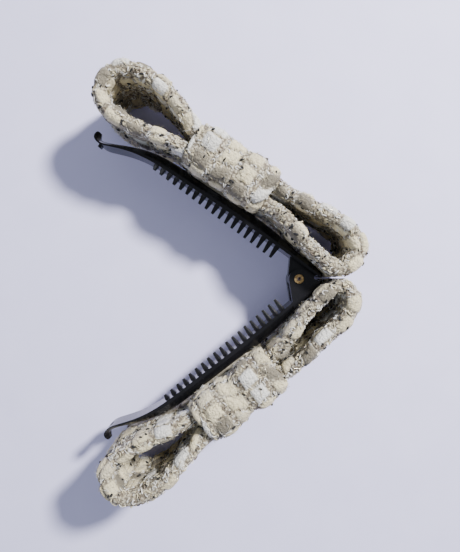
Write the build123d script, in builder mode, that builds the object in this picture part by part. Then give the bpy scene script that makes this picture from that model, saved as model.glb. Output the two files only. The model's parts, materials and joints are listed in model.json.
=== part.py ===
from build123d import *

# Banana hair clip, opened in a V, with a tweed bow glued to the outer face of each comb arm.
# Millimetres, +Z up. The clip lies on its side: the hinge axis is vertical, the bow ribbons
# stand on edge on Z = 0, the hinge is at the +X end and the free ends point to -X.
# The origin is the middle of the bounding box at its base.

import os
from math import cos, radians, sin

# ---- pose and frame -------------------------------------------------------------------
half_opening = 35.8  # degrees between the plane of symmetry and each arm's closing line
hinge_x = 33.68  # hinge axis along X
hinge_y = -0.4  # hinge axis along Y
ribbon_width = 45.0
mid_height = ribbon_width / 2

# ---- comb arms ------------------------------------------------------------------------
# Each arm is drawn with x along its closing line, from the hinge axis to the free end,
# and y away from the other arm.
arm_width = 14.0
arm_depth = 6.2  # under the bow
arm_crown_side = 0.3  # height of the section's straight sides, as a share of its depth
arm_base_y = 7.7
tab_low_x = 116.3
tab_low_y = 0.6  # where the finger tab comes closest to the closing line

# Sections of the arm: (x, y of the inner face, lean in degrees, depth, width).
arm_sections = [
    (-8.4, 6.4, 6, 2.0, arm_width),
    (4.0, 6.7, 2.5, 3.9, arm_width),
    (22.0, 7.2, 1.5, 5.8, arm_width),
    (46.0, arm_base_y, 0.3, arm_depth, arm_width),
    (72.0, 7.6, -1, 5.9, arm_width),
    (94.0, 6.7, -5, 4.8, arm_width),
    (104.0, 4.4, -20, 3.3, arm_width),
    (111.5, 1.6, -17, 2.7, 13.6),
    (tab_low_x, tab_low_y, 2, 2.3, 12.6),
    (119.7, 2.0, 52, 2.1, 10.6),
    (120.6, 4.2, 82, 1.8, 8.0),
    (120.5, 5.6, 94, 1.3, 4.5),
]

tooth_count = 19
tooth_pitch = 3.95
tooth_first_x = {"fork": 15.0, "tongue": 17.0}
tooth_root = (2.7, 3.6)
tooth_root_radius = 0.7
tooth_tip = (1.3, 1.7)
tooth_tip_radius = 0.5
tooth_root_sink = 0.6
tooth_tip_y_first = 1.3
tooth_tip_slope = 0.054

# ---- hinge ----------------------------------------------------------------------------
knuckle_radius = 4.7
knuckle_web_feet = [(-6.0, 7.7), (9.5, 9.2)]
knuckle_web_foot_radius = 0.8
tongue_knuckle_width = 4.6
knuckle_side_gap = 0.2
rivet_radius = 1.6
rivet_hole_radius = 0.95
rivet_head_radius = 2.35
rivet_head_height = 0.6
rivet_head_round = 0.48
running_clearance = 0.05

# ---- catch ----------------------------------------------------------------------------
nib_height = 0.7
nib_size = (1.6, 4.0)
nib_corner_radius = 0.6
nib_root_sink = 0.8
window_size = (3.4, 6.0)
window_corner_radius = 0.8
window_cut = 8.0

# ---- bows -----------------------------------------------------------------------------
band_thickness = 6.4
loop_hole_end_radius = 0.6  # of each loop's opening where it narrows to the neck
wrap_start_x = 36.0
wrap_end_x = 75.0
wrap_base_y = 13.2
wrap_depth = 22.0
arm_channel_width = 15.2
arm_channel_top_y = 14.4
wrap_edge_radius = 5.0
neck_height = 31.0
thread_width = 5.0
thread_depth = 1.0
glue_length = 30.0
glue_width = 8.0
glue_height = 1.6
glue_corner_radius = 2.5
bow_axis_y = 23.8

# Round stretches of each loop's outside, as (x, y, radius), from its free end to the wrap.
loop_circles = {
    "tongue": {
        "tip": [(116.0, 20.0, 10.8), (110.8, 29.8, 10.4), (wrap_end_x, bow_axis_y, band_thickness)],
        "hinge": [(-8.5, 18.2, 8.5), (-6.8, 25.4, 8.2), (wrap_start_x, bow_axis_y, band_thickness)],
    },
    "fork": {
        "tip": [(118.0, 19.2, 10.2), (114.0, 27.0, 10.0), (wrap_end_x, bow_axis_y, band_thickness)],
        "hinge": [(-8.5, 18.2, 8.5), (-5.0, 22.4, 8.2), (wrap_start_x, bow_axis_y, band_thickness)],
    },
}

arm_planes = {
    "tongue": Plane(
        origin=(hinge_x, hinge_y, mid_height),
        x_dir=(-cos(radians(half_opening)), sin(radians(half_opening)), 0),
        z_dir=(0, 0, -1),
    ),
    "fork": Plane(
        origin=(hinge_x, hinge_y, mid_height),
        x_dir=(-cos(radians(half_opening)), -sin(radians(half_opening)), 0),
        z_dir=(0, 0, 1),
    ),
}


def side_plane(arm, height):
    """A plane seen from the other arm: x along the arm, normal away from the other arm."""
    base = arm_planes[arm]
    return Plane(
        origin=base.origin + base.y_dir * height, x_dir=base.x_dir, z_dir=base.y_dir
    )


def arm_section(arm, station):
    """A D-shaped section: flat towards the other arm, crowned on its back."""
    x, y, lean, depth, width = station
    base = arm_planes[arm]
    tangent = base.x_dir * cos(radians(lean)) + base.y_dir * sin(radians(lean))
    place = Plane(origin=base.from_local_coords((x, y, 0)), x_dir=-base.z_dir, z_dir=tangent)
    side = depth * arm_crown_side
    with BuildSketch(place) as section:
        with BuildLine():
            Polyline((-width / 2, side), (-width / 2, 0), (width / 2, 0), (width / 2, side))
            ThreePointArc((width / 2, side), (0, depth), (-width / 2, side))
        make_face()
    return section.sketch


def inner_face_height(x):
    """Distance of the arm's inner face from the closing line, along the toothed stretch."""
    stations = [station for station in arm_sections if station[0] < tab_low_x]
    for (x1, y1, *_), (x2, y2, *_) in zip(stations, stations[1:]):
        if x <= x2:
            return y1 + (y2 - y1) * (x - x1) / (x2 - x1)
    return stations[-1][1]


def tooth(arm, x):
    """One tapered comb tooth with a rounded tip, pointing at the other arm."""
    root_y = inner_face_height(x) + tooth_root_sink
    tip_y = tooth_tip_y_first + tooth_tip_slope * (x - tooth_first_x[arm])
    with BuildPart() as piece:
        with BuildSketch(side_plane(arm, root_y)):
            with Locations((x, 0)):
                RectangleRounded(*tooth_root, tooth_root_radius)
        with BuildSketch(side_plane(arm, tip_y)):
            with Locations((x, 0)):
                RectangleRounded(*tooth_tip, tooth_tip_radius)
        loft()
    return piece.part


def knuckle_levels(arm):
    """Where the arm's knuckles lie along the hinge axis, as (centre, width) from mid-width."""
    if arm == "tongue":
        return [(0.0, tongue_knuckle_width)]
    inside = tongue_knuckle_width / 2 + knuckle_side_gap
    width = arm_width / 2 - inside
    centre = inside + width / 2
    return [(-centre, width), (centre, width)]


def knuckle_area(plane):
    """A knuckle and the web that spreads from it into the arm."""
    with BuildSketch(plane) as area:
        Circle(knuckle_radius)
        for foot in knuckle_web_feet:
            with Locations(foot):
                Circle(knuckle_web_foot_radius)
        make_hull()
    return area.sketch


def comb_arm(arm):
    """One moulding: arm, finger tab, teeth, hinge knuckles and its half of the catch."""
    plane = arm_planes[arm]
    teeth = [tooth(arm, tooth_first_x[arm] + index * tooth_pitch) for index in range(tooth_count)]
    bore = rivet_radius + (running_clearance if arm == "tongue" else 0)
    with BuildPart() as piece:
        loft([arm_section(arm, station).face() for station in arm_sections])
        for centre, width in knuckle_levels(arm):
            extrude(knuckle_area(plane.offset(centre)), amount=width / 2, both=True)
        with BuildSketch(plane):
            Circle(bore)
        extrude(amount=arm_width, both=True, mode=Mode.SUBTRACT)
        add(teeth)
        if arm == "tongue":
            with BuildSketch(side_plane(arm, -nib_height)):
                with Locations((tab_low_x, 0)):
                    RectangleRounded(*nib_size, nib_corner_radius)
            extrude(amount=nib_height + tab_low_y + nib_root_sink)
        else:
            with BuildSketch(side_plane(arm, 0)):
                with Locations((tab_low_x, 0)):
                    RectangleRounded(*window_size, window_corner_radius)
            extrude(amount=window_cut, mode=Mode.SUBTRACT)
    return piece.part


def hinge_rivet():
    """A hollow rivet with a rolled head at each end, set in the fork arm's knuckles."""
    axis_foot = Plane(origin=(hinge_x, hinge_y, mid_height), x_dir=(1, 0, 0), z_dir=(0, 0, 1))
    with BuildPart() as piece:
        with BuildSketch(axis_foot):
            Circle(rivet_radius)
        extrude(amount=arm_width / 2, both=True)
        for side in (-1, 1):
            with BuildSketch(axis_foot.offset(side * arm_width / 2)):
                Circle(rivet_head_radius)
            extrude(amount=side * rivet_head_height)
        head_rims = piece.edges().filter_by(GeomType.CIRCLE).group_by(Axis.Z)
        fillet(head_rims[0] + head_rims[-1], rivet_head_round)
        with BuildSketch(axis_foot):
            Circle(rivet_hole_radius)
        extrude(amount=arm_width, both=True, mode=Mode.SUBTRACT)
    return piece.part


def loop_area(arm, circles, inset):
    """The teardrop round a loop's circles, drawn in by inset."""
    with BuildSketch(arm_planes[arm]) as area:
        for x, y, radius in circles:
            with Locations((x, y)):
                Circle(radius - inset)
        make_hull()
    return area.sketch


def bow_loops(arm):
    """The ribbon ring: a loop at each end, and a neck where its two layers are drawn in."""
    plane = arm_planes[arm]
    hole_inset = band_thickness - loop_hole_end_radius
    neck_length = wrap_end_x - wrap_start_x
    neck_centre = ((wrap_start_x + wrap_end_x) / 2, bow_axis_y)
    with BuildPart() as piece:
        for circles in loop_circles[arm].values():
            extrude(loop_area(arm, circles, 0), amount=ribbon_width / 2, both=True)
        for circles in loop_circles[arm].values():
            hole = loop_area(arm, circles, hole_inset)
            extrude(hole, amount=ribbon_width, both=True, mode=Mode.SUBTRACT)
        with BuildSketch(plane):
            with Locations(neck_centre):
                Rectangle(neck_length, 2 * wrap_depth)
        extrude(amount=ribbon_width, both=True, mode=Mode.SUBTRACT)
        with BuildSketch(plane):
            with Locations(neck_centre):
                Rectangle(neck_length, 2 * band_thickness)
        extrude(amount=neck_height / 2, both=True)
        with BuildSketch(plane):
            with Locations(neck_centre):
                Rectangle(thread_width, 2 * band_thickness)
        extrude(amount=neck_height / 2, both=True, mode=Mode.SUBTRACT)
        with BuildSketch(plane):
            with Locations(neck_centre):
                Rectangle(thread_width, 2 * (band_thickness - thread_depth))
        extrude(amount=neck_height / 2 - thread_depth, both=True)
    return piece.part


def bow_thread(arm):
    """The winding of thread that gathers the ribbon ring, hidden under the wrap."""
    plane = arm_planes[arm]
    neck_centre = ((wrap_start_x + wrap_end_x) / 2, bow_axis_y)
    with BuildPart() as piece:
        with BuildSketch(plane):
            with Locations(neck_centre):
                Rectangle(thread_width, 2 * band_thickness)
        extrude(amount=neck_height / 2, both=True)
        with BuildSketch(plane):
            with Locations(neck_centre):
                Rectangle(thread_width, 2 * (band_thickness - thread_depth))
        extrude(amount=neck_height / 2 - thread_depth, both=True, mode=Mode.SUBTRACT)
    return piece.part


def bow_wrap(arm):
    """The wide tweed wrap round the neck of the bow, hollowed where it sits astride the arm."""
    plane = arm_planes[arm]
    length = wrap_end_x - wrap_start_x
    middle_x = (wrap_start_x + wrap_end_x) / 2
    with BuildPart() as piece:
        with BuildSketch(plane):
            with Locations((middle_x, wrap_base_y + wrap_depth / 2)):
                Rectangle(length, wrap_depth)
        extrude(amount=ribbon_width / 2, both=True)
        fillet(piece.edges().filter_by(Axis(plane.origin, plane.x_dir)), wrap_edge_radius)
        with BuildSketch(plane):
            with Locations((middle_x, bow_axis_y)):
                Rectangle(length, 2 * band_thickness)
        extrude(amount=neck_height / 2, both=True, mode=Mode.SUBTRACT)
        with BuildSketch(plane):
            with Locations((middle_x, arm_channel_top_y / 2)):
                Rectangle(length, arm_channel_top_y)
        extrude(amount=arm_channel_width / 2, both=True, mode=Mode.SUBTRACT)
    return piece.part


def bow_glue(arm, arm_part):
    """The bed of hot-melt glue between the arm's rounded back and the wrap."""
    with BuildPart() as piece:
        with BuildSketch(side_plane(arm, arm_channel_top_y - glue_height)):
            with Locations(((wrap_start_x + wrap_end_x) / 2, 0)):
                RectangleRounded(glue_length, glue_width, glue_corner_radius)
        extrude(amount=glue_height)
        add(arm_part, mode=Mode.SUBTRACT)
    return piece.part


def save(part, name):
    part.label = name
    export_step(part, f"parts/{name}.step")


os.makedirs("parts", exist_ok=True)
save(hinge_rivet(), "hinge_rivet")
for arm in arm_planes:
    arm_part = comb_arm(arm)
    save(arm_part, f"{arm}_arm")
    save(bow_loops(arm), f"{arm}_bow_loops")
    save(bow_thread(arm), f"{arm}_bow_thread")
    save(bow_wrap(arm), f"{arm}_bow_wrap")
    save(bow_glue(arm, arm_part), f"{arm}_bow_glue")
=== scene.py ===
import json
from math import cos, pi, radians, sin

import bpy
import numpy as np
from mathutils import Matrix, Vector


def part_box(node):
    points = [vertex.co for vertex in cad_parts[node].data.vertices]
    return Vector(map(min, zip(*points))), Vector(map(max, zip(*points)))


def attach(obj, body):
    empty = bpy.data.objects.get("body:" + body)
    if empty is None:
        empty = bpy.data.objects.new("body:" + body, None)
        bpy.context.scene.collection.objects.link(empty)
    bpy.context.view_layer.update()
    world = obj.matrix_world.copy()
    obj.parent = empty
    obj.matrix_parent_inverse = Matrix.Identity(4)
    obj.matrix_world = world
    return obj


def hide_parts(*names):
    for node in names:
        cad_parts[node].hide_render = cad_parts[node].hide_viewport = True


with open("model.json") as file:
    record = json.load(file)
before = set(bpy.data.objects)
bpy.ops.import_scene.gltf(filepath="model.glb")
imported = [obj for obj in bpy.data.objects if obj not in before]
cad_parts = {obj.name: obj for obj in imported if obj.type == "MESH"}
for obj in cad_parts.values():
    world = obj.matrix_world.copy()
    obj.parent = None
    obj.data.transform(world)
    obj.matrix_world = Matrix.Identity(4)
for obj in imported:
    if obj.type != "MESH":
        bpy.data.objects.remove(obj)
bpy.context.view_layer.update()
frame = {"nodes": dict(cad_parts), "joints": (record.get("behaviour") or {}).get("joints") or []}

MM = 0.001

# ---- the clip's own frame -------------------------------------------------------------
# Bow sizes below are in millimetres in the frame of their arm: x along the arm from the
# hinge axis, y away from the other arm, z up from the surface that the clip lies on.
HALF_OPENING = radians(35.8)
HINGE = Vector(frame["joints"][0]["pos_m"])
ARMS = {"tongue": 1, "fork": -1}
RIBBON_WIDTH = (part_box("fork_bow_loops")[1][2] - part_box("fork_bow_loops")[0][2]) / MM
MID_HEIGHT = RIBBON_WIDTH / 2
FLOOR_GAP = 0.05  # mm, between the lowest yarn and Z = 0
BOW_AXIS_Y = 23.8

# Where the back of an arm is, and how far to each side of its middle it reaches.
ARM_BACK_X = (-8.4, 4.0, 22.0, 46.0, 72.0, 94.0, 105.1, 112.3, 118.0, 121.5)
ARM_BACK_Y = (8.6, 10.8, 13.1, 14.0, 13.6, 11.7, 7.7, 4.5, 6.6, 6.8)
ARM_REACH = 7.3
ARM_EASE = 2.2  # mm beside the arm, over which the cloth is free again
CLOTH_GAP, YARN_GAP = 0.25, 0.1  # mm, to the back of the arm
SYMMETRY_GAP = 0.3  # mm, from the plane between the two bows


def to_row(arm, points):
    """Points in an arm's frame, in mm, as points in the row frame, in metres."""
    side = ARMS[arm]
    x, y, z = points[..., 0], points[..., 1], points[..., 2]
    out = np.empty(points.shape)
    out[..., 0] = HINGE.x - cos(HALF_OPENING) * x * MM + sin(HALF_OPENING) * y * MM
    out[..., 1] = HINGE.y + side * (sin(HALF_OPENING) * x + cos(HALF_OPENING) * y) * MM
    out[..., 2] = z * MM
    return out


# ---- curves and grids -----------------------------------------------------------------
def spread(grid, count, axis=0, closed=False):
    """Smoothly resamples a grid of numbers or vectors along one axis."""
    size = grid.shape[axis]
    at = np.arange(count) * size / count if closed else np.linspace(0, size - 1, count)
    base = np.floor(at).astype(int)
    part = (at - base).reshape([-1 if k == axis else 1 for k in range(grid.ndim)])

    def knot(step):
        index = base + step
        index = index % size if closed else np.clip(index, 0, size - 1)
        return np.take(grid, index, axis)

    a, b, c, d = knot(-1), knot(0), knot(1), knot(2)
    return b + 0.5 * part * (c - a + part * (2 * a - 5 * b + 4 * c - d + part * (3 * (b - c) + d - a)))


def even_steps(points, step):
    """A smooth line through the points, cut into even steps."""
    fine = spread(np.array(points, float), 400)
    run = np.concatenate([[0], np.cumsum(np.linalg.norm(np.diff(fine, axis=0), axis=1))])
    at = np.linspace(0, run[-1], int(run[-1] / step) + 1)
    return np.stack([np.interp(at, run, fine[:, k]) for k in range(fine.shape[1])], 1), at


def wander(rng, shape, size, step=1.0):
    """Smooth random numbers, about -1 to 1, over a grid; size is the spacing of its bumps."""
    out = rng.uniform(-1, 1, [max(4, int(count * step / size) + 3) for count in shape])
    for axis, count in enumerate(shape):
        out = spread(out, count, axis)
    return out


def smooth(edge0, edge1, value):
    part = np.clip((value - edge0) / (edge1 - edge0), 0, 1)
    return part * part * (3 - 2 * part)


def unit(vectors):
    return vectors / np.maximum(np.linalg.norm(vectors, axis=-1, keepdims=True), 1e-9)


def grid_normals(points, closed_rows=False):
    """Outward unit normals of a grid whose columns run round a tube."""
    if closed_rows:
        along = np.roll(points, -1, 0) - np.roll(points, 1, 0)
    else:
        along = np.gradient(points, axis=0)
    around = np.roll(points, -1, 1) - np.roll(points, 1, 1)
    return unit(np.cross(around, along))


def grid_faces(rows, cols, closed_rows=False):
    last = rows if closed_rows else rows - 1
    row, col = np.meshgrid(np.arange(last), np.arange(cols), indexing="ij")
    up, right = (row + 1) % rows, (col + 1) % cols
    quads = np.stack([row * cols + col, up * cols + col, up * cols + right, row * cols + right], -1)
    faces = quads.reshape(-1, 4).tolist()
    if not closed_rows:
        faces.append(list(range(cols)))
        faces.append([rows * cols - 1 - k for k in range(cols)])
    return faces


# ---- cloth ----------------------------------------------------------------------------
# Only the loops are padded out as cloth. The wraps are pulled tight and glued.
CLOTH_SCALE = 0.1  # the cages swell at ten millimetres to the unit
CLOTH_FRAMES = 20
CLOTH_PRESSURE = 3.0
MOST_SWELL = 1.1  # mm


def swell(cage, held):
    """How far each point of a coarse cage moves when it is padded out as cloth, in mm."""
    rows, cols, _ = cage.shape
    mesh = bpy.data.meshes.new("cage")
    mesh.from_pydata((cage.reshape(-1, 3) * CLOTH_SCALE).tolist(), [], grid_faces(rows, cols))
    body = bpy.data.objects.new("cage", mesh)
    bpy.context.collection.objects.link(body)
    pins = body.vertex_groups.new(name="held")
    pins.add(np.flatnonzero(held.reshape(-1)).tolist(), 1.0, "REPLACE")
    cloth = body.modifiers.new("cloth", "CLOTH")
    cloth.settings.quality = 5
    cloth.settings.mass = 0.3
    cloth.settings.tension_stiffness = 12
    cloth.settings.compression_stiffness = 12
    cloth.settings.bending_stiffness = 1.0
    cloth.settings.use_pressure = True
    cloth.settings.uniform_pressure_force = CLOTH_PRESSURE
    cloth.settings.effector_weights.gravity = 0
    cloth.settings.vertex_group_mass = "held"
    cloth.point_cache.frame_start = 1
    cloth.point_cache.frame_end = CLOTH_FRAMES
    for number in range(1, CLOTH_FRAMES + 1):
        bpy.context.scene.frame_set(number)
    result = body.evaluated_get(bpy.context.evaluated_depsgraph_get()).data
    moved = np.empty(rows * cols * 3)
    result.vertices.foreach_get("co", moved)
    bpy.data.objects.remove(body)
    bpy.data.meshes.remove(mesh)
    bpy.context.scene.frame_set(1)
    shift = moved.reshape(cage.shape) / CLOTH_SCALE - cage
    far = np.linalg.norm(shift, axis=-1, keepdims=True)
    return shift * np.minimum(1, MOST_SWELL / np.maximum(far, 1e-6))


def padded_out(coarse, fine, held):
    """The fine grid filled out as its coarse cage swells, with its middle line where it was."""
    shift = swell(coarse, held)
    shift = shift - shift.mean(1, keepdims=True)
    return fine + spread(spread(shift, fine.shape[0]), fine.shape[1], 1, True)


# ---- tweed ----------------------------------------------------------------------------
# Yarn colours, linear.
CREAM = (0.74, 0.685, 0.50)
OAT = (0.64, 0.60, 0.47)
IVORY = (0.76, 0.78, 0.80)
TAUPE = (0.20, 0.185, 0.15)
WHITE = (0.88, 0.89, 0.90)
BROWN = (0.24, 0.20, 0.16)
BLACK = (0.012, 0.012, 0.014)
GOLD = (0.80, 0.62, 0.30)
SILVER = (0.75, 0.72, 0.66)
PUFF_COLOURS = np.array([CREAM, OAT, TAUPE, IVORY])
PUFF_SHARES = [0.48, 0.12, 0.27, 0.13]
CURL_COLOURS = np.array([CREAM, IVORY, WHITE, BROWN])
CURL_SHARES = [0.30, 0.32, 0.22, 0.16]

# The weave is a grid of cells, and many cells hold a puff of roving. Sizes in millimetres.
CELLS = 64  # cells each way before the pattern repeats
PITCH_U, PITCH_V = 10.6, 8.3
PUFF_U, PUFF_V = 8.2, 7.4
PUFF_HEIGHT = 1.15
PUFF_SQUARENESS = 3.2
GROUND_CELL = 1.3
LOOP_PUFFS, WRAP_PUFFS = 0.62, 0.95  # share of cells with a puff


def tweed(u, v, seed, puffs, start=0.0):
    """Height, colour and share of puff at points u along and v across the cloth, in mm.

    The number puffs is the share of cells that hold one.
    """
    rng = np.random.default_rng(seed)
    size = (CELLS, CELLS)
    kind = rng.choice(len(PUFF_COLOURS), size, p=PUFF_SHARES)
    shown = rng.random(size) < puffs
    shift = rng.uniform(-0.45, 0.45, (2, *size))
    scale = rng.uniform(0.84, 1.04, (2, *size))
    tone = rng.uniform(0.88, 1.08, size)
    column = np.floor((u - start) / PITCH_U).astype(int)
    lift = rng.uniform(0, PITCH_V, CELLS)[column % CELLS]
    row = np.floor((v + lift) / PITCH_V).astype(int)
    cell = (column % CELLS, row % CELLS)
    in_u = (u - start) - (column + 0.5) * PITCH_U - shift[0][cell]
    in_v = (v + lift) - (row + 0.5) * PITCH_V - shift[1][cell]
    p = np.abs(in_u) / (PUFF_U / 2 * scale[0][cell])
    q = np.abs(in_v) / (PUFF_V / 2 * scale[1][cell])
    dome = np.sqrt(np.clip(1 - p**PUFF_SQUARENESS, 0, 1) * np.clip(1 - q**PUFF_SQUARENESS, 0, 1))
    dome = dome * shown[cell]
    inside = smooth(0.12, 0.42, dome)
    ground_cell = tuple(np.floor(at / GROUND_CELL).astype(int) % CELLS for at in (u, v))
    ground = rng.uniform(0, 1, size)[ground_cell][..., None]
    base = np.array(CREAM) * (0.75 - 0.3 * ground) + np.array(IVORY) * 0.48 * ground
    colour = PUFF_COLOURS[kind[cell]] * tone[cell][..., None]
    colour = base * (1 - inside[..., None]) + colour * inside[..., None]
    return PUFF_HEIGHT * dome, colour, inside


def make_piece(name, arm, points, faces, colour, puff=None, uv=None):
    """A mesh object in the row frame, with its yarn colours as an attribute."""
    mesh = bpy.data.meshes.new(name)
    mesh.from_pydata(to_row(arm, points.reshape(-1, 3)).tolist(), [], faces)
    if ARMS[arm] > 0:
        mesh.flip_normals()
    tint = mesh.attributes.new("yarn_colour", "FLOAT_COLOR", "POINT")
    flat = np.ones((len(mesh.vertices), 4))
    flat[:, :3] = colour.reshape(-1, 3)
    tint.data.foreach_set("color", flat.reshape(-1))
    if puff is not None:
        mesh.attributes.new("puff", "FLOAT", "POINT").data.foreach_set("value", puff.reshape(-1))
    if uv is not None:
        cloth = mesh.attributes.new("cloth", "FLOAT_VECTOR", "POINT")
        place = np.zeros((len(mesh.vertices), 3))
        place[:, :2] = uv.reshape(-1, 2)
        cloth.data.foreach_set("vector", place.reshape(-1))
    mesh.shade_smooth()
    piece = bpy.data.objects.new(name, mesh)
    bpy.context.collection.objects.link(piece)
    return piece


def off_the_arm(points, gap):
    """Points moved out of the arm, off the floor and away from the other bow."""
    out = points.copy()
    x, y, z = out[..., 0], out[..., 1], out[..., 2]
    beside = 1 - smooth(ARM_REACH, ARM_REACH + ARM_EASE, np.abs(z - MID_HEIGHT))
    along = smooth(ARM_BACK_X[0] - 1.2, ARM_BACK_X[0] - 0.2, x)
    least = np.interp(x, ARM_BACK_X, ARM_BACK_Y) + gap
    y += np.maximum(0, least - y) * beside * along
    past = SYMMETRY_GAP - (sin(HALF_OPENING) * x + cos(HALF_OPENING) * y)
    y += np.maximum(0, past) / cos(HALF_OPENING)
    out[..., 2] = np.maximum(z, FLOOR_GAP)
    return out


# ---- bow loops ------------------------------------------------------------------------
# Middle of the ribbon's thickness as seen along the hinge axis, from the outer layer at the
# wrap round the loop and back to the inner layer, then its thickness at the wrap and the end.
LOOPS = {
    "tongue": {
        "tip": ([(66, 27.6), (75, 28.2), (81.5, 31), (91, 35), (102, 37.9), (111.5, 38), (119.5, 35.8),
                 (124.8, 29.6), (125.6, 21.8), (121.4, 15.7), (112, 13.8), (102, 14.8), (92, 17),
                 (83, 19.2), (75, 20), (66, 19.2)], 7.8, 7.4),
        "hinge": ([(45, 28), (36, 28.8), (28, 29.4), (15, 31), (3, 32.2), (-6.5, 31.4), (-13.4, 26.8),
                   (-14.8, 19.2), (-10.4, 12.3), (-1, 12.5), (10, 14.5), (22, 17.6), (32, 19.6), (45, 19.4)],
                  8.6, 7.6),
    },
    "fork": {
        "tip": ([(66, 28), (75, 29.4), (83, 31), (95, 33.5), (107, 35), (118, 33.4), (125.6, 28.6),
                 (127.2, 21), (124.3, 13.9), (116, 11.6), (106, 12.4), (95, 15), (85, 17.9), (77, 19.8),
                 (66, 19.6)], 8.8, 7.8),
        "hinge": ([(45, 28), (36, 29), (28, 29.8), (14, 28.8), (3, 27.6), (-7, 26.3), (-13, 22),
                   (-14.4, 15.4), (-9.9, 11.2), (-1, 11.7), (12, 14), (24, 17.6), (33, 19.6), (45, 19.6)],
                  8.6, 7.2),
    },
}
OUTWARD = {"tip": 1, "hinge": -1}  # 1 where the line's normal points out of the loop, else -1
WALL_INSET = 0.6  # how far a wall lies inside its line
NECK_WIDTH = 31.0
FULL_WIDTH = 43.6
GATHER_DEPTH, GATHER_PITCH, GATHER_REACH = 1.0, 8.6, 11.0
SLACK = 0.7
LOOP_STEP, ROUND_STEP, CAGE_STEP = 0.62, 0.66, 3.0  # mm between points
HELD_LENGTH = 10.0  # of ribbon at the wrap, which can't swell
LOOP_SINK = 0.35  # how far the ground of the tweed lies under the ribbon's skin
HIDDEN_ROWS = 12  # at each end of a loop, inside the wrap


def band_grid(line, run, cols, near, far, outward, seed):
    """The ribbon's skin round a loop: rows along it, columns round its section."""
    rng = np.random.default_rng(seed)
    total = run[-1]
    from_wrap = np.minimum(run, total - run)
    grown = smooth(2, 30, from_wrap)
    width = NECK_WIDTH + (FULL_WIDTH - NECK_WIDTH) * grown
    width = width + 0.8 * wander(rng, (len(run),), 14, total / len(run))
    width = np.minimum(width, RIBBON_WIDTH - 0.4)
    thick = near + (far - near) * smooth(12, 40, from_wrap)
    tangent = unit(np.gradient(line, axis=0))
    normal = np.stack([-tangent[:, 1], tangent[:, 0]], 1)
    # Round the section by length: outer face, top rim, inner face, bottom rim.
    flat, radius = (width - thick)[:, None], (thick / 2)[:, None]
    rim = pi * radius
    at = np.arange(cols) / cols * 2 * (flat + rim)
    turn_top = np.clip((at - flat) / radius, 0, pi)
    turn_low = np.clip((at - 2 * flat - rim) / radius, 0, pi)
    on_low = at > 2 * flat + rim
    side = np.where(on_low, -np.cos(turn_low), np.cos(turn_top)) * radius
    on_inner = np.where(on_low, -flat / 2 - radius * np.sin(turn_low), 1.5 * flat + rim - at)
    high = np.where(at < flat + rim, flat / 2 + radius * np.sin(turn_top), on_inner)
    high = np.where(at < flat, at - flat / 2, high)
    # Gathers where the ribbon is drawn in at the wrap, and a slow unevenness everywhere.
    gather = np.exp(-from_wrap / GATHER_REACH)[:, None] * np.sin(2 * pi * high / GATHER_PITCH + seed)
    slack = SLACK * spread(spread(rng.uniform(-1, 1, (7, 6)), len(run)), cols, 1) * grown[:, None]
    side = side + GATHER_DEPTH * gather + slack * np.sin(pi * np.abs(high) / RIBBON_WIDTH + 0.4)
    side = side - outward * WALL_INSET * grown[:, None]
    centre = line[:, None, :] + normal[:, None, :] * side[..., None]
    return np.concatenate([centre, (MID_HEIGHT + high)[..., None]], -1), at


def make_loop(arm, end, seed):
    """The tweed skin of one padded loop."""
    points, near, far = LOOPS[arm][end]
    line, run = even_steps(points, LOOP_STEP)
    cols = int((2 * FULL_WIDTH + far) / ROUND_STEP)
    fine, v = band_grid(line, run, cols, near, far, OUTWARD[end], seed)
    cage_line, cage_run = even_steps(points, CAGE_STEP)
    cage_cols = int(cols * ROUND_STEP / CAGE_STEP)
    cage, _ = band_grid(cage_line, cage_run, cage_cols, near, far, OUTWARD[end], seed)
    from_wrap = np.minimum(cage_run, cage_run[-1] - cage_run)
    held = np.repeat((from_wrap < HELD_LENGTH)[:, None], cage_cols, 1)
    skin = padded_out(cage, fine, held)
    u = np.repeat(run[:, None], cols, 1)
    height, colour, puff = tweed(u, v, seed, LOOP_PUFFS)
    skin = off_the_arm(skin + grid_normals(skin) * (height - LOOP_SINK)[..., None], CLOTH_GAP)
    return {"points": skin, "normals": grid_normals(skin), "uv": np.stack([u, v], -1), "colour": colour,
            "puff": puff, "shown": slice(HIDDEN_ROWS, -HIDDEN_ROWS), "part": "loop"}


# ---- wrap -----------------------------------------------------------------------------
# The wrap sits astride the arm. Its profile along the arm is (x from its middle, how far out from
# its section), outside first and then back inside. The groove is between its two pillows.
WRAP_MIDDLE_X = 55.5
WRAP_SECTION_Y = (12.8, 36.0)
WRAP_CORNER = 6.5
PUFF_ROOM_Y, PUFF_ROOM_Z = 0.9, 1.3
CHANNEL_TOP = 14.45
CHANNEL_SIDE = ARM_REACH + 0.4
WRAP_PROFILE = [(-17.5, -4.2), (-19.6, -3.6), (-20.6, -2.2), (-20.2, -0.8), (-18.6, 0.0), (-16, 0.4),
                (-12, 0.7), (-8, 0.7), (-4, 0.5), (0, 0.3), (4, 0.5), (8, 0.7), (12, 0.7), (16, 0.4),
                (18.6, 0.0), (20.2, -0.8), (20.6, -2.2), (19.6, -3.6), (17.5, -4.2)]
WRAP_LINING = (17.5, -4.4)  # where the unseen inside of the wrap runs, in the profile's terms
LINING_ROWS = 8
WRAP_GROOVE = {"tongue": 0.6, "fork": 1.5}
GROOVE_WIDTH = 3.2
END_X, END_REACH, END_WAVE = 20, 5, 0.5  # the uneven ends of the wrap
WRAP_STEP = 0.62
WRAP_COLS = 176
WRAP_FIRST_PUFF = 1.2
WRAP_SINK = 0.25


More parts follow.
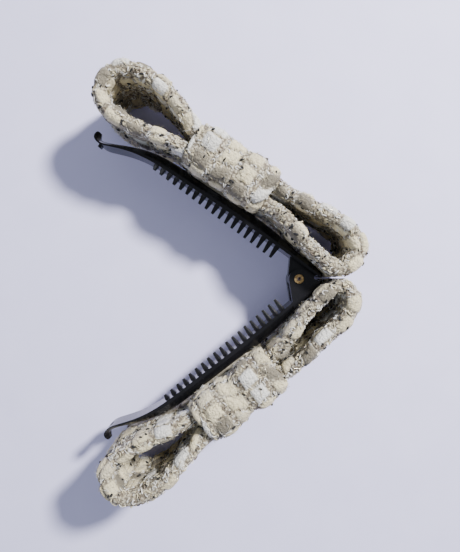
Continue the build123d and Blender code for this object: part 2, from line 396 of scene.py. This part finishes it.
def wrap_grid(arm, profile, seed):
    """The wrap's skin: rows along its profile, columns round the arm."""
    rng = np.random.default_rng(seed)
    along, out = profile[:, 0][:, None], profile[:, 1][:, None]
    out = out - WRAP_GROOVE[arm] * np.exp(-((along / GROOVE_WIDTH) ** 2))
    low, high = WRAP_SECTION_Y
    half_y, half_z = (high - low) / 2 - PUFF_ROOM_Y + out, MID_HEIGHT - PUFF_ROOM_Z + out
    corner = WRAP_CORNER + out * 0.5
    flat_y, flat_z = half_y - corner, half_z - corner
    bend = corner * pi / 2
    at = np.arange(WRAP_COLS) / WRAP_COLS * 4 * (flat_y + flat_z + bend)
    # Four sides and four corners in turn, starting at the bottom of the side next to the arm.
    left = at
    y = (low + high) / 2 - half_y
    z = MID_HEIGHT - flat_z
    for length, dy, dz in ((flat_z, 0, 1), (flat_y, 1, 0), (flat_z, 0, -1), (flat_y, -1, 0)):
        step = np.clip(left, 0, 2 * length)
        left = left - 2 * length
        angle = np.clip(left / corner, 0, pi / 2)
        left = left - bend
        ahead, inward = step + corner * np.sin(angle), corner * (1 - np.cos(angle))
        y = y + ahead * dy + inward * dz
        z = z + ahead * dz - inward * dy
    wave = END_WAVE * spread(spread(rng.uniform(-1, 1, (5, 9)), len(profile)), WRAP_COLS, 1, True)
    x = WRAP_MIDDLE_X + along + wave * np.exp(-(((np.abs(along) - END_X) / END_REACH) ** 2))
    beside = 1 - smooth(CHANNEL_SIDE, CHANNEL_SIDE + 2, np.abs(z - MID_HEIGHT))
    y = y + np.maximum(0, CHANNEL_TOP - y) * beside
    return np.stack([x, y, z], -1), at


def make_wrap(arm, seed):
    """The tweed skin of the wrap, closed on itself like a thick cuff."""
    profile, run = even_steps(WRAP_PROFILE, WRAP_STEP)
    lining_x, lining_out = WRAP_LINING
    lining_x = np.linspace(lining_x, -lining_x, LINING_ROWS + 2)[1:-1]
    profile = np.concatenate([profile, np.stack([lining_x, np.full(LINING_ROWS, lining_out)], 1)])
    run = np.concatenate([run, np.linspace(run[-1], run[-1] + 10, LINING_ROWS)])
    skin, v = wrap_grid(arm, profile, seed)
    u = np.repeat(run[:, None], WRAP_COLS, 1)
    height, colour, puff = tweed(u, v, seed, WRAP_PUFFS, WRAP_FIRST_PUFF)
    outside = (np.arange(len(run)) < len(run) - LINING_ROWS)[:, None]
    skin = skin - grid_normals(skin, True) * ((height - WRAP_SINK) * outside)[..., None]
    y, z = skin[..., 1], skin[..., 2]
    beside = 1 - smooth(CHANNEL_SIDE, CHANNEL_SIDE + 1, np.abs(z - MID_HEIGHT))
    skin[..., 1] = y + np.maximum(0, CHANNEL_TOP - 0.1 - y) * beside * (y < BOW_AXIS_Y)
    skin[..., 2] = np.maximum(z, FLOOR_GAP)
    return {"points": skin, "normals": -grid_normals(skin, True), "uv": np.stack([u, v], -1),
            "colour": colour, "puff": puff, "shown": slice(1, -LINING_ROWS - 2), "part": "wrap"}


def tweed_piece(name, arm, skins, closed_rows, material):
    """One mesh object of one or more tweed skins."""
    faces, start = [], 0
    for skin in skins:
        rows, cols, _ = skin["points"].shape
        faces.extend([[start + k for k in face] for face in grid_faces(rows, cols, closed_rows)])
        start += rows * cols
    points, colour, uv = (np.concatenate([skin[key].reshape(-1, skin[key].shape[-1]) for skin in skins])
                          for key in ("points", "colour", "uv"))
    puff = np.concatenate([skin["puff"].reshape(-1) for skin in skins])
    piece = make_piece(name, arm, points, faces, colour, puff, uv)
    if closed_rows:
        piece.data.flip_normals()
    piece.data.materials.append(material)
    return piece


# ---- loose yarn -----------------------------------------------------------------------
CURL_COUNT = {"loop": 1120, "wrap": 520}
CURL_SIDES = 4
# Fibres caught in the cloth, in millimetres: how many on each part, from the shortest to the
# longest, from the thinnest to the thickest, colours, how far one end stands up, sides and seed.
FIBRES = {
    "yarn_slubs": ({"loop": 130, "wrap": 60}, (0.9, 2.4), (0.38, 0.62), [BLACK], 0.0, 6, 30),
    "fluff": ({"loop": 1100, "wrap": 700}, (1.2, 3.2), (0.05, 0.09), [IVORY, CREAM], 1.1, 3, 50),
    "lurex": ({"loop": 70, "wrap": 36}, (2.5, 5), (0.09, 0.14), [GOLD, SILVER], 0.0, 4, 40),
}


def tubes(paths, radii, sides):
    """Points and faces of round tubes along many paths of equal length."""
    count, length, _ = paths.shape
    along = unit(np.gradient(paths, axis=1))
    guide = unit(np.cross(along[:, :1], along[:, length // 3 : length // 3 + 1]) + 1e-5)
    first = unit(np.cross(along, guide))
    second = np.cross(along, first)
    angle = np.arange(sides) * 2 * pi / sides
    ring = first[:, :, None] * np.cos(angle)[:, None] + second[:, :, None] * np.sin(angle)[:, None]
    points = paths[:, :, None] + ring * radii[:, :, None, None]
    one = grid_faces(length, sides)
    starts = range(0, count * length * sides, length * sides)
    return points.reshape(-1, 3), [[start + k for k in face] for start in starts for face in one]


def curls(skin, count, seed):
    """Little twisted loops of boucle yarn that come out of the cloth and go back in."""
    rng = np.random.default_rng(seed)
    points, normals, puff = (skin[key][skin["shown"]] for key in ("points", "normals", "puff"))
    rows, cols, _ = points.shape
    row = rng.integers(2, rows - 2, count * 3)
    col = rng.integers(0, cols, count * 3)
    keep = rng.random(count * 3) > puff[row, col] * 0.96
    row, col = row[keep][:count], col[keep][:count]
    out = normals[row, col]
    across = unit(np.cross(out, rng.normal(size=out.shape)))
    beyond = np.cross(out, across)
    turn = np.linspace(0, 1, 8)[None, :, None]

    def draw(*ranges):
        return [rng.uniform(low, high, (len(row), 1, 1)) for low, high in ranges]

    reach, turns, phase = draw((0.5, 1.25), (2.2, 6.4), (0, 6.3))
    reach_two, turns_two, phase_two = draw((0.5, 1.1), (2.2, 6.4), (0, 6.3))
    paths = points[row, col][:, None] + across[:, None] * reach * np.cos(turn * turns + phase)
    paths = paths + beyond[:, None] * reach_two * np.sin(turn * turns_two + phase_two)
    high = rng.uniform(0.3, 0.85, (len(row), 1, 1))
    paths = paths + out[:, None] * (high * np.sin(pi * turn) - 0.22)
    taper = np.array([0.4, 0.9, 1, 1, 1, 1, 0.9, 0.4])
    radii = rng.uniform(0.19, 0.34, (len(row), 1)) * taper
    pick = CURL_COLOURS[rng.choice(len(CURL_COLOURS), len(row), p=CURL_SHARES)]
    return paths, radii, pick * rng.uniform(0.8, 1.08, (len(row), 1))


def fibres(skin, count, seed, length, radius, colours, rise):
    """Short pieces of yarn caught in the cloth; rise is how far one end stands up."""
    rng = np.random.default_rng(seed)
    points, normals = skin["points"][skin["shown"]], skin["normals"][skin["shown"]]
    rows, cols, _ = points.shape
    row = rng.integers(3, rows - 3, count)
    col = rng.integers(0, cols, count)
    out = normals[row, col]
    across = unit(np.cross(out, rng.normal(size=out.shape)))
    beyond = np.cross(out, across)
    part = np.linspace(0, 1, 6)[None, :, None]
    reach = (part - 0.5) * rng.uniform(*length, (count, 1, 1))
    bend = rng.uniform(-0.35, 0.35, (count, 1, 1)) * np.sin(pi * part)
    paths = points[row, col][:, None] + across[:, None] * reach + beyond[:, None] * bend
    lift = 0.2 - 0.3 * (part - 0.5) ** 2 + rise * rng.uniform(0.2, 1, (count, 1, 1)) * part**1.4
    paths = paths + out[:, None] * lift
    radii = rng.uniform(*radius, (count, 1)) * np.array([0.4, 0.9, 1, 1, 0.9, 0.4])
    pick = np.array(colours)[rng.integers(0, len(colours), count)]
    return paths, radii, pick * rng.uniform(0.8, 1.15, (count, 1))


def yarn_piece(name, arm, groups, sides, material):
    """One mesh object of many loose yarns."""
    points, faces, colours, start = [], [], [], 0
    for paths, radii, tint in groups:
        ring, part = tubes(paths, radii, sides)
        points.append(ring)
        faces.extend([[start + k for k in face] for face in part])
        start += len(ring)
        colours.append(np.repeat(tint, paths.shape[1] * sides, 0))
    points = off_the_arm(np.concatenate(points), YARN_GAP)
    piece = make_piece(name, arm, points, faces, np.concatenate(colours))
    piece.data.materials.append(material)
    return piece


# ---- materials ------------------------------------------------------------------------
class Nodes:
    """A material's node tree, built one node at a time."""

    def __init__(self, name):
        self.material = bpy.data.materials.new(name)
        self.material.use_nodes = True
        self.tree = self.material.node_tree
        self.shader = self.tree.nodes["Principled BSDF"]

    def add(self, kind, inputs=(), **settings):
        node = self.tree.nodes.new("ShaderNode" + kind)
        for key, value in settings.items():
            setattr(node, key, value)
        for socket, value in dict(inputs).items():
            self.feed(node, socket, value)
        return node

    def feed(self, node, socket, value):
        if isinstance(value, bpy.types.NodeSocket):
            self.tree.links.new(value, node.inputs[socket])
        else:
            node.inputs[socket].default_value = value

    def surface(self, **inputs):
        for socket, value in inputs.items():
            self.feed(self.shader, socket.replace("_", " "), value)

    def place(self):
        return self.add("TexCoord").outputs["Object"]

    def noise(self, scale, detail=3, vector=None):
        inputs = {"Vector": vector or self.place(), "Scale": scale, "Detail": detail}
        return self.add("TexNoise", inputs).outputs[0]

    def fit(self, value, low, high, from_low=0.3, from_high=0.7):
        return self.add("MapRange", {"Value": value, "From Min": from_low, "From Max": from_high,
                                     "To Min": low, "To Max": high}).outputs[0]

    def mix(self, factor, one, two, mode="MIX"):
        node = self.add("Mix", data_type="RGBA", blend_type=mode)
        self.feed(node, 0, factor)
        self.feed(node, 6, one)
        self.feed(node, 7, two)
        return node.outputs[2]

    def bump(self, height, distance, strength=1.0, under=None):
        inputs = {"Height": height, "Distance": distance, "Strength": strength}
        if under is not None:
            inputs["Normal"] = under
        return self.add("Bump", inputs).outputs[0]


def tweed_cloth():
    make = Nodes("tweed_cloth")
    tint = make.add("Attribute", attribute_name="yarn_colour").outputs["Color"]
    puff = make.add("Attribute", attribute_name="puff").outputs["Fac"]
    place = make.add("Attribute", attribute_name="cloth").outputs["Vector"]
    fibre = make.noise(1.0, 4, make.add("Mapping", {"Vector": place, "Scale": (0.55, 3.6, 1)}).outputs[0])
    fluff = make.noise(1100, 4)
    blotch = make.noise(420, 2)
    shade = make.mix(make.fit(fluff, 0, 1, 0.38, 0.62), (0.62, 0.56, 0.48, 1), (1, 1, 1, 1))
    loose = make.mix(1.0, tint, shade, "MULTIPLY")
    # Painted shade: the ground is darkened towards dark brown along the edges of small voronoi cells, which
    # the bump below sets low as crevices between the yarns.
    yarn_crevices = make.add("TexVoronoi", {"Vector": make.place(), "Scale": 820}).outputs[0]
    loose = make.mix(make.fit(yarn_crevices, 0, 0.95, 0.32, 0.66), loose, (0.15, 0.125, 0.095, 1))
    dark = make.fit(make.noise(640, 2), 0, 1, 0.64, 0.67)
    loose = make.mix(dark, loose, (0.015, 0.015, 0.018, 1))
    strand = make.mix(make.fit(fibre, 0, 1, 0.3, 0.7), (0.80, 0.76, 0.70, 1), (1.06, 1.05, 1.03, 1))
    roving = make.mix(1.0, tint, strand, "MULTIPLY")
    colour = make.mix(puff, loose, roving)
    dull = make.mix(1.0, colour, (0.80, 0.76, 0.70, 1), "MULTIPLY")
    colour = make.mix(make.fit(blotch, 0, 0.35), colour, dull)
    rough = make.bump(yarn_crevices, -0.0006, 0.8, make.bump(make.noise(1600, 4), 0.0006))
    soft = make.bump(fibre, 0.00035, 0.7, rough)
    make.surface(Base_Color=colour, Roughness=make.fit(fluff, 0.78, 0.95), Normal=soft)
    make.surface(Sheen_Weight=0.1, Sheen_Roughness=0.5)
    return make.material


def boucle_yarn():
    make = Nodes("boucle_yarn")
    tint = make.add("Attribute", attribute_name="yarn_colour").outputs["Color"]
    fluff = make.noise(2200, 3)
    shade = make.mix(make.fit(fluff, 0, 1), (0.74, 0.70, 0.64, 1), (1.05, 1.04, 1.02, 1))
    make.surface(Base_Color=make.mix(1.0, tint, shade, "MULTIPLY"), Roughness=make.fit(fluff, 0.7, 0.92),
                 Normal=make.bump(make.noise(3600, 2), 0.0003), Sheen_Weight=0.1, Sheen_Roughness=0.5)
    return make.material


def lurex():
    make = Nodes("lurex")
    tint = make.add("Attribute", attribute_name="yarn_colour").outputs["Color"]
    glint = make.noise(2600, 2)
    make.surface(Base_Color=make.mix(make.fit(glint, 0, 1), tint, (0.95, 0.86, 0.62, 1)), Metallic=1.0,
                 Roughness=make.fit(glint, 0.18, 0.42))
    return make.material


def black_plastic():
    make = Nodes("black_plastic")
    flow = make.noise(60, 3)
    fine = make.noise(1400, 3)
    colour = make.mix(make.fit(flow, 0, 1), (0.004, 0.004, 0.005, 1), (0.008, 0.008, 0.010, 1))
    make.surface(Base_Color=colour, Roughness=make.fit(fine, 0.16, 0.24),
                 Normal=make.bump(flow, 0.0001, 0.3), Specular_IOR_Level=0.35)
    return make.material


def brass():
    make = Nodes("brass")
    worn = make.noise(900, 4)
    colour = make.mix(make.fit(worn, 0, 1), (0.40, 0.25, 0.10, 1), (0.66, 0.47, 0.22, 1))
    make.surface(Base_Color=colour, Metallic=1.0, Roughness=make.fit(worn, 0.2, 0.42),
                 Normal=make.bump(worn, 0.00003))
    return make.material


def sewing_thread():
    make = Nodes("sewing_thread")
    wave = {"Vector": make.place(), "Scale": 900, "Distortion": 1.5}
    turns = make.add("TexWave", wave, bands_direction="DIAGONAL")
    # Painted shade: the thread is darker where the wave's bump sets it low, in the grooves between its
    # twists.
    colour = make.mix(turns.outputs[1], (0.55, 0.49, 0.38, 1), (0.80, 0.75, 0.64, 1))
    make.surface(Base_Color=colour, Roughness=0.8, Normal=make.bump(turns.outputs[1], 0.0002))
    return make.material


def hot_melt():
    make = Nodes("hot_melt")
    cloudy = make.noise(300, 3)
    colour = make.mix(make.fit(cloudy, 0, 1), (0.20, 0.18, 0.14, 1), (0.32, 0.29, 0.23, 1))
    make.surface(Base_Color=colour, Roughness=make.fit(cloudy, 0.3, 0.5), Normal=make.bump(cloudy, 0.0003))
    return make.material


# ---- camera, floor and light ----------------------------------------------------------
CAMERA_FROM_HINGE = (-0.03285, 0.00251)
CAMERA_HEIGHT = 0.249
CAMERA_TURN = radians(-1.9)


def make_camera():
    """Looks straight down on the open clip, a little way along it from the hinge."""
    data = bpy.data.cameras.new("camera")
    data.sensor_width = 36
    data.lens = 30.06
    data.clip_start = 0.01
    camera = bpy.data.objects.new("camera", data)
    camera.location = (HINGE.x + CAMERA_FROM_HINGE[0], HINGE.y + CAMERA_FROM_HINGE[1], CAMERA_HEIGHT)
    camera.rotation_euler = (0, 0, CAMERA_TURN)
    bpy.context.collection.objects.link(camera)
    bpy.context.scene.camera = camera


def make_light(name, place, aim, size, power, colour):
    data = bpy.data.lights.new(name, "AREA")
    data.shape = "DISK"
    data.size = size
    data.energy = power
    data.color = colour
    light = bpy.data.objects.new(name, data)
    light.location = place
    light.rotation_euler = (Vector(aim) - Vector(place)).to_track_quat("-Z", "Y").to_euler()
    bpy.context.collection.objects.link(light)


def make_stage():
    bpy.ops.mesh.primitive_plane_add(size=4, location=(0, 0, -0.0003))
    floor = bpy.context.object
    floor.name = "floor"
    paper = Nodes("floor_paper")
    grain = paper.noise(40, 2)
    paper.surface(Base_Color=paper.mix(paper.fit(grain, 0, 1), (0.67, 0.665, 0.97, 1), (0.70, 0.695, 1.0, 1)),
                  Roughness=0.85)
    floor.data.materials.append(paper.material)
    make_light("key", (0.52, 0.42, 0.68), (0, 0, 0.02), 0.13, 25, (1.0, 0.975, 0.94))
    make_light("fill", (-0.8, -0.5, 0.8), (0, 0, 0), 0.9, 4, (0.84, 0.89, 1.0))
    world = bpy.data.worlds.new("world")
    world.use_nodes = True
    world.node_tree.nodes["Background"].inputs[0].default_value = (0.80, 0.84, 0.95, 1)
    world.node_tree.nodes["Background"].inputs[1].default_value = 0.35
    bpy.context.scene.world = world


# ---- the model ------------------------------------------------------------------------
def dress_cad(material, slot, *nodes):
    for node in nodes:
        piece = frame["nodes"][node]
        piece.data.materials.clear()
        piece.data.materials.append(material)


def make_bow(arm, seed, cloth, boucle, metal):
    """Both loops and the wrap of one bow, with the loose yarn of its tweed."""
    skins = [make_loop(arm, end, seed + number) for number, end in enumerate(LOOPS[arm])]
    loops = tweed_piece(f"{arm}_tweed_loops", arm, skins, False, cloth)
    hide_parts(f"{arm}_bow_loops")
    skins.append(make_wrap(arm, seed + len(skins)))
    wrap = tweed_piece(f"{arm}_tweed_wrap", arm, skins[-1:], True, cloth)
    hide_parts(f"{arm}_bow_wrap")
    groups = [curls(skin, CURL_COUNT[skin["part"]], seed + 10 + number) for number, skin in enumerate(skins)]
    pieces = [loops, wrap, yarn_piece(f"{arm}_boucle_curls", arm, groups, CURL_SIDES, boucle)]
    for name, (counts, length, radius, colours, rise, sides, first_seed) in FIBRES.items():
        groups = []
        for number, skin in enumerate(skins):
            own_seed = seed + first_seed + number
            groups.append(fibres(skin, counts[skin["part"]], own_seed, length, radius, colours, rise))
        pieces.append(yarn_piece(f"{arm}_{name}", arm, groups, sides, metal if name == "lurex" else boucle))
    for piece in pieces:
        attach(piece, f"{arm}_half")


dress_cad(black_plastic(), "clip_plastic", "fork_arm", "tongue_arm")
dress_cad(brass(), "rivet_brass", "hinge_rivet")
dress_cad(sewing_thread(), "thread", "fork_bow_thread", "tongue_bow_thread")
dress_cad(hot_melt(), "hot_melt", "fork_bow_glue", "tongue_bow_glue")
cloth, boucle, metal = tweed_cloth(), boucle_yarn(), lurex()
make_bow("tongue", 11, cloth, boucle, metal)
make_bow("fork", 511, cloth, boucle, metal)
make_camera()
make_stage()
